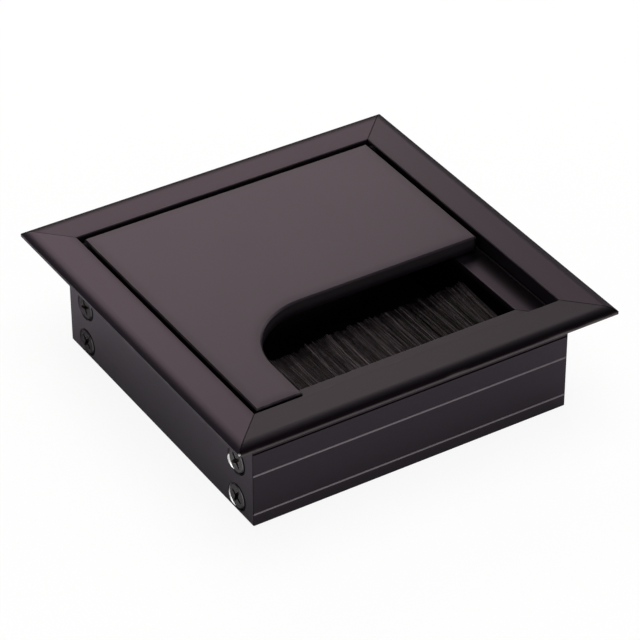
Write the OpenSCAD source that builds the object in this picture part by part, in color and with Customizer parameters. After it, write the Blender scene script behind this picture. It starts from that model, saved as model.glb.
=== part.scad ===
// Desk cable grommet: a square aluminium frame of four mitred rails, a flip-up lid with one corner cut
// away for cables, and a brush that closes the gap. The origin is the centre of the skirt's bottom edge,
// +Z is up, +Y is the hinge side and the brush is at -Y. All sizes are in millimetres.

/* [Frame] */
// Outside of the flange, along each side
flange_side = 100; // [96:0.5:130]
// Outside of the skirt, along each side
body_side = 84; // [80:0.5:88]
// Height from the skirt's bottom edge to the flange's top
body_depth = 29.5; // [28:0.5:50]
// Thickness of the skirt wall
wall_t = 1.75; // [1.5:0.05:2.5]
// Thickness of the flange
flange_t = 1.95; // [1.8:0.05:3]
// Width of the flange's rounded outer edge
shoulder_w = 2.65; // [1.5:0.05:4]
// How far the rounded edge falls at the rim
shoulder_drop = 1.05; // [0.5:0.05:1.4]
// Rounding of the rim's lower edge
rim_round = 0.3; // [0.1:0.05:0.35]
// Chamfer along the flange's inner edge
edge_chamfer = 0.2; // [0.1:0.05:0.4]
// Rounding of the skirt's bottom edge
skirt_round = 0.25; // [0.1:0.05:0.5]
// Gap left between two rails at each mitre
mitre_gap = 0.12; // [0.05:0.01:0.3]

/* [Lid ledge] */
// Width of the ledge that carries the lid
ledge_w = 7.05; // [6:0.05:9]
// Thickness of the ledge
ledge_t = 1.5; // [1:0.1:2]
// Fillet between the ledge and the skirt wall
ledge_fillet = 0.4; // [0.1:0.05:0.6]
// Rounding of the ledge's upper edge
ledge_round = 0.25; // [0.1:0.05:0.4]
// Gap between the closed lid and the ledge
ledge_gap = 0.4; // [0.4:0.05:0.8]

/* [Brush slot] */
// Height of the slot behind its lips
slot_h = 3.3; // [3:0.1:4]
// Height of the slot's mouth between its lips
slot_mouth = 1.9; // [1.7:0.1:2.2]
// Thickness of the lips that hold the brush in
slot_lip_t = 1.2; // [0.8:0.1:1.6]
// Thickness of the rib under the slot
slot_rib_t = 1.2; // [1:0.1:1.6]
// Width of the groove on the outer face, at the rib
groove_w = 0.45; // [0.2:0.05:0.8]
// Depth of that groove
groove_depth = 0.45; // [0.2:0.05:0.6]

/* [Screw ports] */
// From the skirt's outer face to the centre of a screw port
port_inset = 7.4; // [6.8:0.1:9]
// Height of the lower port above the bottom edge
port_lower_z = 3.6; // [3.6:0.1:4.5]
// Distance between the lower and the upper port
port_pitch = 10; // [8:0.1:11]
// Outside diameter of a port
port_od = 6.2; // [5.2:0.1:6.6]
// Thickness of the web between a port and the skirt
port_web_t = 1.6; // [1:0.1:2.4]
// Width of the fine line on the outer face, near each web
line_w = 0.6; // [0.3:0.05:1]
// Depth of that line
line_depth = 0.15; // [0.05:0.05:0.4]
// How far outside its web each line lies
line_shift = 0.3; // [0:0.05:0.6]

/* [Corner screws] */
// Diameter of the screw head
head_d = 6.2; // [5.2:0.1:6.2]
// How far the head's rim sits below the skirt's face
head_recess = 0.35; // [0.1:0.05:0.35]
// How far the flat top of the head stands above its rim
head_rise = 0.3; // [0.1:0.05:0.35]
// Diameter of the shank
shank_d = 3.3; // [3:0.1:3.6]
// Length of the screw with its head
screw_len = 18; // [14:0.5:24]
// Length of the screw's point
point_len = 2; // [1:0.5:3]
// Gap round the shank, in the skirt and in the port
shank_gap = 0.1; // [0.05:0.01:0.15]
// Length across the cross recess
cross_w = 4; // [2.4:0.1:4.2]
// Width of the cross recess at its middle
cross_slot = 1.2; // [0.6:0.05:1.6]
// Width of the cross recess at its ends
cross_tip = 0.45; // [0.2:0.05:0.6]
// Depth of the cross recess
cross_depth = 1.1; // [0.6:0.1:1.3]

/* [Lid] */
// Thickness of the lid
lid_t = 3.65; // [3.4:0.05:4.5]
// How far the lid lies below the flange's top
lid_recess = 0.2; // [0:0.05:0.4]
// Gap round the lid
lid_gap = 1.2; // [0.9:0.05:1.6]
// Width of the tab left of the cut-away corner
tab_w = 11.75; // [9:0.25:24]
// Depth of the cut-away corner from the lid's front edge
notch_depth = 30.25; // [24:0.25:40]
// Inside radius of the cut-away corner
notch_r = 18; // [8:0.5:22]
// Chamfer along the lid's top edges
lid_chamfer = 0.35; // [0.2:0.05:0.5]

/* [Hinge] */
// From the lid's rear edge to the hinge line
hinge_inset = 1.7; // [1.5:0.05:1.9]
// Diameter of the hinge pins
pin_d = 2; // [1.6:0.1:2.2]
// Length of a pin inside the lid
pin_grip = 8; // [5:0.5:12]
// Depth of the pin's bearing in the skirt wall
bearing_depth = 1.35; // [1:0.05:1.4]
// Gap round the pin in its bearing
pin_gap = 0.05; // [0.02:0.01:0.08]
// Outside diameter of the spacer washers
washer_od = 3.3; // [2.8:0.1:3.4]
// Gap at each face of a washer and at the pin's end
washer_gap = 0.1; // [0.05:0.01:0.15]
// How far the lid's rounded rear corner stands out past half its thickness
knuckle_extra = 0.1; // [0.05:0.05:0.2]

/* [Lid pads] */
// Diameter of a pad
pad_d = 4; // [3:0.5:4.5]
// Gap between a pad and the ledge
pad_gap = 0.05; // [0.02:0.01:0.1]
// From an edge of the lid to a pad
pad_margin = 0.6; // [0.5:0.1:1]

/* [Brush] */
// From each end of the brush to the ledge beside it
brush_end_gap = 0.45; // [0.2:0.05:4]
// Thickness of the channel's folded sheet
channel_t = 0.55; // [0.4:0.05:0.7]
// Depth of the channel
channel_depth = 4.8; // [4.2:0.1:5]
// Gap between the channel and the slot
channel_gap = 0.1; // [0.05:0.01:0.15]
// Diameter of the core wire
wire_d = 0.9; // [0.6:0.1:1.2]
// How far the bristles stand out of the channel
bristle_len = 19.6; // [12:0.2:24]
// How unevenly the bristles end
bristle_spread = 1.3; // [0:0.1:2]
// How far the bristle ends hang
bristle_sag = 0.9; // [0:0.1:1.2]
// Bristles along the brush
bristle_count = 104; // [100:1:125]
// Layers of bristles
bristle_rows = 3; // [3:1:4]
// Width of a bristle at its root
bristle_t = 0.3; // [0.2:0.05:0.35]
// Gap round the bristle roots in the channel
root_gap = 0.05; // [0.02:0.01:0.1]

/* [Hidden] */
$fn = 64;

// Length that carries a cutter past the face it cuts
past = 1;
// Finish colours
metal = [0.30, 0.27, 0.28];
screw_black = [0.12, 0.12, 0.13];
steel = [0.55, 0.55, 0.57];
nylon = [0.08, 0.08, 0.08];
bristle_black = [0.05, 0.05, 0.05];

// Frame: half sizes measured from the centre, and heights
rim = flange_side / 2;
wall_out = body_side / 2;
wall_in = wall_out - wall_t;
ledge_in = wall_in - ledge_w;
shoulder_in = rim - shoulder_w;
shoulder_r = (shoulder_w * shoulder_w + shoulder_drop * shoulder_drop) / (2 * shoulder_drop);
flange_z = body_depth - flange_t;
lid_top = body_depth - lid_recess;
lid_z = lid_top - lid_t;
ledge_top = lid_z - ledge_gap;
slot_top = ledge_top - ledge_t;
slot_z = slot_top - slot_h;
slot_mid = slot_z + slot_h / 2;
slot_back = ledge_in + slot_lip_t;
port_u = wall_out - port_inset;
port_heights = [port_lower_z, port_lower_z + port_pitch];
hole_d = shank_d + 2 * shank_gap;
countersink_d = head_d + 2 * head_recess;

// Lid and hinge
lid_half = wall_in - lid_gap;
tab_x = tab_w - lid_half;
notch_y = notch_depth - lid_half;
hinge_y = lid_half - hinge_inset;
hinge_z = lid_top - lid_t / 2;
knuckle_r = lid_t / 2 + knuckle_extra;
washer_t = lid_gap - 2 * washer_gap;
pin_len = pin_grip + lid_gap + bearing_depth - washer_gap;
pad_t = ledge_gap - pad_gap;
pad_u = lid_half - pad_d / 2 - pad_margin;

// Brush
brush_len = 2 * (ledge_in - brush_end_gap);
channel_h = slot_h - 2 * channel_gap;
channel_front = slot_back + channel_gap;
channel_back = channel_front + channel_depth;
root_h = channel_h - 2 * channel_t - 2 * root_gap;
wire_u = channel_back - channel_t - root_gap - wire_d / 2;
root_back = wire_u - wire_d / 2 - root_gap;

// Section of a rail in its own plane: the first axis runs outwards from the centre, the second is height.
module rail_section(ported) {
    difference() {
        union() {
            translate([wall_in, 0]) square([wall_t, body_depth]);
            flange_section();
            translate([ledge_in, slot_top]) square([ledge_w + wall_t / 2, ledge_t]);
            if (ported) slot_section();
            if (ported) port_section();
            translate([wall_in, ledge_top]) inside_fillet(ledge_fillet);
        }
        translate([wall_in, body_depth]) rotate(45) square(edge_chamfer * sqrt(2), center = true);
        translate([ledge_in, ledge_top]) rotate(90) corner_waste(ledge_round);
        translate([wall_in, 0]) rotate(180) corner_waste(skirt_round);
        translate([wall_out, 0]) rotate(-90) corner_waste(skirt_round);
        translate([rim, flange_z]) rotate(-90) corner_waste(rim_round);
        if (ported) line_cuts();
    }
}

// What a rounding takes off a square corner at the origin that points along +X and +Y.
module corner_waste(radius) {
    difference() {
        translate([-radius, -radius]) square(radius + past);
        translate([-radius, -radius]) circle(radius);
    }
}

// Fillet in an inside corner at the origin: the floor lies towards -X and the wall rises along +Y.
module inside_fillet(radius) {
    difference() {
        translate([-radius, -radius]) square(2 * radius);
        translate([-radius, radius]) circle(radius);
    }
}

// Flat flange with its outer edge falling in an arc to a low upright rim.
module flange_section() {
    translate([wall_in, flange_z]) square([shoulder_in - wall_in, flange_t]);
    intersection() {
        translate([shoulder_in, flange_z]) square([shoulder_w, flange_t]);
        translate([shoulder_in, body_depth - shoulder_r]) circle(shoulder_r);
    }
}

// Rib and two lips that make the slot under the ledge.
module slot_section() {
    lip_h = (slot_h - slot_mouth) / 2;
    translate([ledge_in, slot_z - slot_rib_t]) square([ledge_w + wall_t / 2, slot_rib_t]);
    translate([ledge_in, slot_z - slot_rib_t / 2]) square([slot_lip_t, slot_rib_t / 2 + lip_h]);
    translate([ledge_in, slot_top - lip_h]) square([slot_lip_t, lip_h + ledge_t / 2]);
}

// Two screw ports, each on a web from the skirt.
module port_section() {
    for (z = port_heights) {
        difference() {
            union() {
                translate([port_u, z]) circle(d = port_od);
                translate([port_u, z - port_web_t / 2]) square([port_inset - wall_t / 2, port_web_t]);
            }
            translate([port_u, z]) circle(d = hole_d);
        }
    }
}

// On the outer face: a shallow fine line just outside each web, and a square groove at the slot's rib.
module line_cuts() {
    reach = line_w / 2 * (line_depth + past) / line_depth;
    for (k = [0, 1])
        translate([wall_out, port_heights[k] + (2 * k - 1) * line_shift])
            polygon([[past, -reach], [past, reach], [-line_depth, 0]]);
    translate([wall_out - groove_depth, slot_z - slot_rib_t / 2 - groove_w / 2])
        square([groove_depth + past, groove_w]);
}

// A rail along X on the +Y side, mitred at both ends, then turned about the centre.
module rail(turn, ported) {
    trim = mitre_gap / sqrt(2);
    rotate([0, 0, turn])
        intersection() {
            rotate([90, 0, 90]) linear_extrude(flange_side, center = true) rail_section(ported);
            linear_extrude(body_depth + past)
                polygon([[0, trim], [rim + past, rim + past + trim], [-rim - past, rim + past + trim]]);
        }
}

// Countersunk screw holes and the hinge bearing of one side, -1 for left and 1 for right.
module side_cuts(side) {
    cone_h = (countersink_d - hole_d) / 2;
    for (end = [-1, 1], z = port_heights)
        translate([side * wall_out, end * port_u, z])
            rotate([0, -90 * side, 0]) {
                cylinder(h = cone_h, d1 = countersink_d, d2 = hole_d);
                translate([0, 0, -past]) cylinder(h = past, d = countersink_d);
                cylinder(h = wall_t + past, d = hole_d);
            }
    translate([side * (wall_in - past), hinge_y, hinge_z])
        rotate([0, 90 * side, 0])
            cylinder(h = past + bearing_depth, d = pin_d + 2 * pin_gap);
}

module side_rail(side) {
    difference() {
        rail(-90 * side, false);
        side_cuts(side);
    }
}

// Countersunk cross-head screw through a side rail into a port of the front or rear rail.
module corner_screw(side, end, level, turn) {
    head_h = (head_d - shank_d) / 2;
    translate([side * (wall_out - head_recess), end * port_u, port_heights[level]])
        rotate([0, -90 * side, 0])
            rotate([0, 0, turn])
                difference() {
                    union() {
                        translate([0, 0, -head_rise])
                            cylinder(h = head_rise, d1 = head_d - 2 * head_rise, d2 = head_d);
                        cylinder(h = head_h, d1 = head_d, d2 = shank_d);
                        cylinder(h = screw_len - point_len, d = shank_d);
                        translate([0, 0, screw_len - point_len])
                            cylinder(h = point_len, d1 = shank_d, d2 = shank_d / 4);
                    }
                    for (a = [0, 90])
                        rotate([0, 0, a])
                            translate([0, 0, -head_rise - past])
                                linear_extrude(past + cross_depth) cross_arm();
                }
}

// One arm of the cross recess, narrower at its ends.
module cross_arm() {
    polygon([
        [-cross_w / 2, -cross_tip / 2], [0, -cross_slot / 2], [cross_w / 2, -cross_tip / 2],
        [cross_w / 2, cross_tip / 2], [0, cross_slot / 2], [-cross_w / 2, cross_tip / 2]
    ]);
}

// Outline of the lid with its cut-away corner.
module lid_outline() {
    difference() {
        square(2 * lid_half, center = true);
        translate([tab_x, -lid_half - past]) square([2 * lid_half, notch_depth + past - notch_r]);
        translate([tab_x + notch_r, -lid_half - past]) square([2 * lid_half, notch_depth + past]);
        translate([tab_x + notch_r, notch_y - notch_r]) circle(notch_r);
    }
}

// Wedge that chamfers a straight top edge: it starts at the origin, runs along +X and lies towards +Y.
module edge_wedge(length) {
    reach = lid_chamfer + past;
    rotate([90, 0, 90])
        linear_extrude(length)
            polygon([[-reach, past], [past, -reach], [past, past]]);
}

// Chamfers along the lid's outer edges, the two edges of the cut-away corner and the arc between them.
module lid_chamfers() {
    run = 2 * lid_half + 2 * past;
    translate([0, 0, lid_top]) {
        for (turn = [0, 90, 180, 270])
            rotate([0, 0, turn]) translate([-run / 2, lid_half, 0]) edge_wedge(run);
        translate([tab_x + notch_r + run, notch_y, 0]) rotate([0, 0, 180]) edge_wedge(run);
        translate([tab_x, notch_y - notch_r, 0]) rotate([0, 0, -90]) edge_wedge(run);
        translate([tab_x + notch_r, notch_y - notch_r, -lid_chamfer])
            cylinder(h = lid_chamfer + past, r1 = notch_r, r2 = notch_r + lid_chamfer + past);
    }
}

module lid() {
    color(metal)
        difference() {
            translate([0, 0, lid_z]) linear_extrude(lid_t) lid_outline();
            lid_chamfers();
            lid_knuckle_cut();
            for (side = [-1, 1])
                translate([side * (lid_half - pin_grip), hinge_y, hinge_z])
                    rotate([0, 90 * side, 0])
                        cylinder(h = pin_grip + past, d = pin_d);
        }
}

// Rounds the lid's lower rear edge about the hinge line, so that it clears the ledge as the lid opens.
module lid_knuckle_cut() {
    rotate([90, 0, 90])
        linear_extrude(2 * lid_half + 2 * past, center = true)
            difference() {
                translate([hinge_y, lid_z - past]) square([hinge_inset + past, past + lid_t / 2]);
                translate([hinge_y, hinge_z]) circle(knuckle_r);
            }
}

module hinge_pin(side) {
    color(steel)
        translate([side * (lid_half - pin_grip), hinge_y, hinge_z])
            rotate([0, 90 * side, 0])
                cylinder(h = pin_len, d = pin_d);
}

module hinge_washer(side) {
    color(nylon)
        translate([side * (lid_half + washer_gap), hinge_y, hinge_z])
            rotate([0, 90 * side, 0])
                difference() {
                    cylinder(h = washer_t, d = washer_od);
                    translate([0, 0, -past]) cylinder(h = washer_t + 2 * past, d = pin_d + 2 * pin_gap);
                }
}

module lid_pad(x, y) {
    color(nylon) translate([x, y, lid_z - pad_t]) cylinder(h = pad_t, d = pad_d);
}

// Folded sheet channel, open towards the bristles.
module brush_channel() {
    color(steel)
        difference() {
            translate([-brush_len / 2, -channel_back, slot_mid - channel_h / 2])
                cube([brush_len, channel_depth, channel_h]);
            translate([-brush_len / 2 - past, -channel_back + channel_t, slot_mid - channel_h / 2 + channel_t])
                cube([brush_len + 2 * past, channel_depth, channel_h - 2 * channel_t]);
        }
}

module brush_core_wire() {
    color(steel)
        translate([-brush_len / 2, -wire_u, slot_mid])
            rotate([0, 90, 0])
                cylinder(h = brush_len, d = wire_d);
}

// Bristles: one closed surface of triangles. The front of the root block is a grid, and each bristle
// grows out of its own cell of that grid, so that no two of them cross. The layers touch at the root only.
pitch_x = brush_len / bristle_count;
pitch_z = root_h / bristle_rows;
grid_x = concat(
    [-brush_len / 2],
    [for (c = [0:bristle_count - 1], s = [-1, 1]) pitch_x * (c + 0.5) - brush_len / 2 + s * bristle_t / 2],
    [brush_len / 2]
);
grid_z = [for (r = [0:bristle_rows]) pitch_z * r - root_h / 2];
last_x = len(grid_x) - 1;
last_z = len(grid_z) - 1;
grid_points = [for (x = grid_x, z = grid_z) [x, -channel_front, slot_mid + z]];
back_points = [
    for (x = [-1, 1], z = [-1, 1]) [x * brush_len / 2, -root_back, slot_mid + z * root_h / 2]
];
back_start = len(grid_points);
tip_start = back_start + len(back_points);
chance = rands(-1, 1, 2 * bristle_count * bristle_rows, 7);

function grid_at(i, j) = i * (last_z + 1) + j;

// The tips end unevenly, hang a little, and fan out towards the ends of the brush.
function tip_centre(c, r) =
    let (
        n = c * bristle_rows + r,
        x = pitch_x * (c + 0.5) - brush_len / 2,
        wave = sin(c * 47) * 0.5 + sin(c * 19 + 40) * 0.5,
        reach = bristle_len + bristle_spread * (0.6 * wave + 0.4 * chance[2 * n]),
        drift = pitch_x * 0.15 * chance[2 * n + 1],
        fan = pow(2 * x / brush_len, 5) * pitch_x
    )
    [x + drift + fan, -channel_front + reach, slot_mid + pitch_z * (r + 0.5) - root_h / 2 - bristle_sag];

tip_points = [
    for (c = [0:bristle_count - 1], r = [0:bristle_rows - 1], k = [[-1, -1], [1, -1], [1, 1], [-1, 1]])
        tip_centre(c, r) + [k[0], 0, k[1]] * bristle_t * 0.35
];

function split(q) = [[q[0], q[1], q[2]], [q[0], q[2], q[3]]];
function cell(i, j) = [grid_at(i, j), grid_at(i + 1, j), grid_at(i + 1, j + 1), grid_at(i, j + 1)];

// Flat cells of the grid between the bristles.
flat_quads = [for (i = [0:2:last_x - 1], j = [0:last_z - 1]) cell(i, j)];
// Four sides and the end of each bristle.
bristle_quads = [
    for (c = [0:bristle_count - 1], r = [0:bristle_rows - 1])
        let (
            base = cell(2 * c + 1, r),
            t = tip_start + 4 * (c * bristle_rows + r),
            tip = [t, t + 1, t + 2, t + 3]
        )
        each concat(
            [for (k = [0:3]) [base[k], base[(k + 1) % 4], tip[(k + 1) % 4], tip[k]]],
            [tip]
        )
];
b00 = back_start;
b01 = back_start + 1;
b10 = back_start + 2;
b11 = back_start + 3;
block_triangles = concat(
    [for (i = [0:last_x - 1]) [grid_at(i + 1, 0), grid_at(i, 0), b00]],
    [[grid_at(last_x, 0), b00, b10]],
    [for (i = [0:last_x - 1]) [grid_at(i, last_z), grid_at(i + 1, last_z), b01]],
    [[b01, grid_at(last_x, last_z), b11]],
    [for (j = [0:last_z - 1]) [grid_at(0, j), grid_at(0, j + 1), b00]],
    [[b00, grid_at(0, last_z), b01]],
    [for (j = [0:last_z - 1]) [grid_at(last_x, j + 1), grid_at(last_x, j), b10]],
    [[grid_at(last_x, last_z), b10, b11]],
    split([b00, b01, b11, b10])
);

module brush_bristles() {
    quads = concat(flat_quads, bristle_quads);
    color(bristle_black)
        polyhedron(
            points = concat(grid_points, back_points, tip_points),
            faces = concat([for (q = quads) each split(q)], block_triangles)
        );
}

module front_rail() { color(metal) rail(180, true); }
module rear_rail() { color(metal) rail(0, true); }
module left_rail() { color(metal) side_rail(-1); }
module right_rail() { color(metal) side_rail(1); }

front_rail();
rear_rail();
left_rail();
right_rail();
color(screw_black) corner_screw(-1, -1, 1, 50);  // screw_left_front_upper
color(screw_black) corner_screw(-1, -1, 0, 29);  // screw_left_front_lower
color(screw_black) corner_screw(-1, 1, 1, 66);  // screw_left_rear_upper
color(screw_black) corner_screw(-1, 1, 0, 37);  // screw_left_rear_lower
color(screw_black) corner_screw(1, -1, 1, 75);  // screw_right_front_upper
color(screw_black) corner_screw(1, -1, 0, 30);  // screw_right_front_lower
color(screw_black) corner_screw(1, 1, 1, 12);  // screw_right_rear_upper
color(screw_black) corner_screw(1, 1, 0, 50);  // screw_right_rear_lower
lid();
hinge_pin(-1);  // left_hinge_pin
hinge_pin(1);  // right_hinge_pin
hinge_washer(-1);  // left_hinge_washer
hinge_washer(1);  // right_hinge_washer
lid_pad(-pad_u, -pad_u);  // lid_pad_corner
lid_pad(tab_x - pad_d / 2 - pad_margin, -pad_u);  // lid_pad_tab
lid_pad(pad_u, notch_y + pad_d / 2 + pad_margin);  // lid_pad_right
brush_channel();
brush_core_wire();
brush_bristles();
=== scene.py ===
from types import SimpleNamespace

import bpy
import numpy as np
from mathutils import Matrix


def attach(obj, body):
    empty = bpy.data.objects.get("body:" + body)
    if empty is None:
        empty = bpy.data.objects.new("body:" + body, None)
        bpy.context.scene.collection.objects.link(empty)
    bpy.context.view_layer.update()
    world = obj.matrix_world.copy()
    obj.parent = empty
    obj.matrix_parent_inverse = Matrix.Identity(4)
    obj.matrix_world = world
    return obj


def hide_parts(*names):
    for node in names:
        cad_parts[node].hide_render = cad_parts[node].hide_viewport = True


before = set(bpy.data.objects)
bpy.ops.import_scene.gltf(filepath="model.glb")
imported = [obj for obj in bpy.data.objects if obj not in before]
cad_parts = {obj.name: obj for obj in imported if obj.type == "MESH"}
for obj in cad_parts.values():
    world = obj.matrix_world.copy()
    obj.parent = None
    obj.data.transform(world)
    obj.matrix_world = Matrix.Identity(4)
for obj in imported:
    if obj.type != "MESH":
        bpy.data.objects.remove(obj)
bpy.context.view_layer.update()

# Four rails: extruded aluminium, mitred at the corners, etched to a satin skin and anodised brown-black. Each
# rail's colour is painted lighter or darker as that rail is lit. The side rails are screwed to the ends of
# the front and rear rails; all their countersinks carry painted shadows, and the front ones painted
# highlights too.
rim_out = 0.0500
rim_low = 0.0283
lip_in = 0.04025
frame_top = 0.0295
flange_low = 0.02755
ledge_top = 0.02525
skirt_face = 0.0420
port_out = 0.0346
port_middle = 0.0086
port_half = 0.0050
countersink_r = 0.00330
anodised_dark = (0.0445, 0.0361, 0.0459, 1)
anodised_light = (0.0523, 0.0424, 0.0539, 1)
# lip_light is a lighter colour painted on the lip under the rim, where it catches light.
lip_light = (0.0760, 0.0640, 0.0620, 1)
# painted_shade is a near-black colour painted where shade falls: beside the inner lip and the mitres, on the
# ledge and in its root, round the countersinks, and on the lid's edges and chamfer.
painted_shade = (0.0016, 0.0012, 0.0016, 1)
# line_highlight is a lighter colour painted along the fine lines as their highlight.
line_highlight = (0.1260, 0.1090, 0.1200, 1)
rubbed_metal = (0.1500, 0.1350, 0.1400, 1)
# painted_glint: a light metal colour painted as glints, on one corner of the rim and in the front
# countersinks.
painted_glint = (0.7200, 0.7200, 0.7000, 1)


def put(tree, kind, inputs=None, **settings):
    """Adds one node, sets its properties, and feeds its inputs from values or from other nodes' sockets."""
    node = tree.nodes.new(kind)
    for name, value in settings.items():
        setattr(node, name, value)
    for name, value in (inputs or {}).items():
        if isinstance(value, bpy.types.NodeSocket):
            tree.links.new(value, node.inputs[name])
        else:
            node.inputs[name].default_value = value
    return node


def work_out(tree, operation, first, second=0.0, third=0.0):
    """One Math node on values or sockets; the result is its output socket."""
    return put(tree, "ShaderNodeMath", {0: first, 1: second, 2: third}, operation=operation).outputs[0]


def times(tree, first, *others):
    """The product of values or masks."""
    for other in others:
        first = work_out(tree, "MULTIPLY", first, other)
    return first


def minus(tree, first, second):
    """The first value less the second."""
    return work_out(tree, "SUBTRACT", first, second)


def over(tree, value, limit):
    """A mask: 1 where a value is above a limit, 0 elsewhere."""
    return work_out(tree, "GREATER_THAN", value, limit)


def under(tree, value, limit):
    """A mask: 1 where a value is below a limit, 0 elsewhere."""
    return work_out(tree, "LESS_THAN", value, limit)


def ramp(tree, value, low, high, from_value=0.0, to_value=1.0):
    """A smooth step: from_value below low, to_value above high."""
    inputs = {"Value": value, "From Min": low, "From Max": high, "To Min": from_value, "To Max": to_value}
    return put(tree, "ShaderNodeMapRange", inputs, interpolation_type="SMOOTHSTEP").outputs["Result"]


def blend(tree, share, first, second):
    """Two colours mixed by a share that varies over the surface."""
    return put(tree, "ShaderNodeMix", {0: share, 6: first, 7: second}, data_type="RGBA").outputs[2]


def noise(tree, place, fineness, detail):
    """Noise over a place, with about that many waves to its unit and that many finer layers."""
    return put(tree, "ShaderNodeTexNoise", {"Vector": place, "Scale": fineness, "Detail": detail}).outputs[0]


def bumped(tree, height, strength, depth, normal=None):
    """The normal after a bump by a height, laid over another normal where one is given."""
    inputs = {"Strength": strength, "Distance": depth, "Height": height}
    if normal is not None:
        inputs["Normal"] = normal
    return put(tree, "ShaderNodeBump", inputs).outputs[0]


def feed(tree, shader, sockets):
    """Links sockets to a shader's inputs by their names."""
    for name, socket in sockets.items():
        tree.links.new(socket, shader.inputs[name])


def start_material(name, metallic, edge_tint=(1, 1, 1, 1), shine=0.5):
    """A material with one Principled shader, whose plain numbers are set on its own sockets."""
    material = bpy.data.materials.new(name)
    material.use_nodes = True
    tree = material.node_tree
    shader = tree.nodes["Principled BSDF"]
    shader.inputs["Metallic"].default_value = metallic
    shader.inputs["Specular Tint"].default_value = edge_tint
    shader.inputs["Specular IOR Level"].default_value = shine
    place = put(tree, "ShaderNodeTexCoord").outputs["Object"]
    return material, tree, shader, place


def start_group(name, inputs, outputs):
    """A shader node group with named sockets, and the sockets inside it that they lead to."""
    group = bpy.data.node_groups.new(name, "ShaderNodeTree")
    for socket, kind in inputs:
        group.interface.new_socket(socket, in_out="INPUT", socket_type=kind)
    for socket, kind in outputs:
        group.interface.new_socket(socket, in_out="OUTPUT", socket_type=kind)
    return group, group.nodes.new("NodeGroupInput").outputs, group.nodes.new("NodeGroupOutput").inputs


def dress(names, material):
    """Gives CAD nodes a material in every one of their slots."""
    for name in names:
        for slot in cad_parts[name].material_slots:
            slot.material = material


# Satin skin of etched and dyed aluminium: soft clouds 15 mm across, die lines along the rail, and the fine
# speckle that etching leaves. Cloud is for the colour, Roughness for the gloss and Height for the bump.
noise_mean = 0.5
cloud_fineness = 65.0
speckle_fineness = 5200.0
die_stretch = 12.0
cloud_tone, line_tone = 0.7, 0.3
cloud_gloss, speckle_gloss, line_gloss = 0.06, 0.10, 0.05
line_relief, speckle_relief = 0.1, 0.5
along_x = (die_stretch, speckle_fineness, speckle_fineness)
along_y = (speckle_fineness, die_stretch, speckle_fineness)
satin_gloss = 0.415
skin_bump = 0.12
skin_depth = 0.00002
skin, skin_in, skin_out = start_group(
    "satin_skin",
    [("Place", "NodeSocketVector"), ("Along", "NodeSocketVector"), ("Gloss", "NodeSocketFloat")],
    [("Cloud", "NodeSocketFloat"), ("Roughness", "NodeSocketFloat"), ("Height", "NodeSocketFloat")],
)
drawn = put(skin, "ShaderNodeVectorMath", {0: skin_in["Place"], 1: skin_in["Along"]}, operation="MULTIPLY")
cloud = noise(skin, skin_in["Place"], cloud_fineness, 3.0)
die_lines = noise(skin, drawn.outputs[0], 1.0, 2.0)
speckle = noise(skin, skin_in["Place"], speckle_fineness, 2.0)
mottle = work_out(skin, "MULTIPLY_ADD", cloud, cloud_tone, times(skin, die_lines, line_tone))
gloss = skin_in["Gloss"]
for pattern, swing in ((cloud, cloud_gloss), (speckle, speckle_gloss), (die_lines, line_gloss)):
    gloss = work_out(skin, "MULTIPLY_ADD", minus(skin, pattern, noise_mean), swing, gloss)
relief = work_out(skin, "MULTIPLY_ADD", die_lines, line_relief, times(skin, speckle, speckle_relief))
for socket, label in ((mottle, "Cloud"), (gloss, "Roughness"), (relief, "Height")):
    skin.links.new(socket, skin_out[label])

# Rubbed edge of anodised metal: within Width of an edge, hands and cloths wear the dye thin, in patches a few
# millimetres long. Mask is 1 where the metal under it shows.
patch_fineness = 150.0
patch_from, patch_to = 0.45, 0.70
rub, rub_in, rub_out = start_group(
    "rubbed_edge",
    [("Place", "NodeSocketVector"), ("Distance", "NodeSocketFloat"), ("Width", "NodeSocketFloat")],
    [("Mask", "NodeSocketFloat")],
)
patches = ramp(rub, noise(rub, rub_in["Place"], patch_fineness, 5.0), patch_from, patch_to)
by_edge = minus(rub, 1.0, ramp(rub, rub_in["Distance"], 0.0, rub_in["Width"]))
rub.links.new(times(rub, by_edge, patches), rub_out["Mask"])


def lay_skin(tree, place, along):
    """Places the satin skin in a material, with its die lines along one axis, and gives its outputs."""
    inputs = {"Place": place, "Along": along, "Gloss": satin_gloss}
    return put(tree, "ShaderNodeGroup", inputs, node_tree=skin).outputs


def rub_edge(tree, place, distance, width):
    """Places the rubbed edge in a material, and gives its mask."""
    inputs = {"Place": place, "Distance": distance, "Width": width}
    return put(tree, "ShaderNodeGroup", inputs, node_tree=rub).outputs["Mask"]


def far_from(tree, u, v, point_u=0.0, point_v=0.0):
    """Distance in a plane from a point, as the root of the two squared differences."""
    du, dv = minus(tree, u, point_u), minus(tree, v, point_v)
    return work_out(tree, "SQRT", work_out(tree, "MULTIPLY_ADD", du, du, times(tree, dv, dv)))


def away_from(tree, place, point):
    """Distance in space from a point."""
    return put(tree, "ShaderNodeVectorMath", {0: place, 1: point}, operation="DISTANCE").outputs["Value"]


def scale_colour(colour, share):
    """A colour made lighter or darker by one share, or by one for each of red, green and blue."""
    return tuple(np.multiply(colour[:3], share)) + (1,)


def frame_place(tree, place):
    """Where a point lies in the frame: x, y and z, its distances out_x and out_y from the two middle planes,
    and reach, the larger of these, which runs outwards through the section of every rail."""
    x, y, z = put(tree, "ShaderNodeSeparateXYZ", {0: place}).outputs
    out_x, out_y = work_out(tree, "ABSOLUTE", x), work_out(tree, "ABSOLUTE", y)
    reach = work_out(tree, "MAXIMUM", out_x, out_y)
    return SimpleNamespace(x=x, y=y, z=z, out_x=out_x, out_y=out_y, reach=reach)


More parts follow.
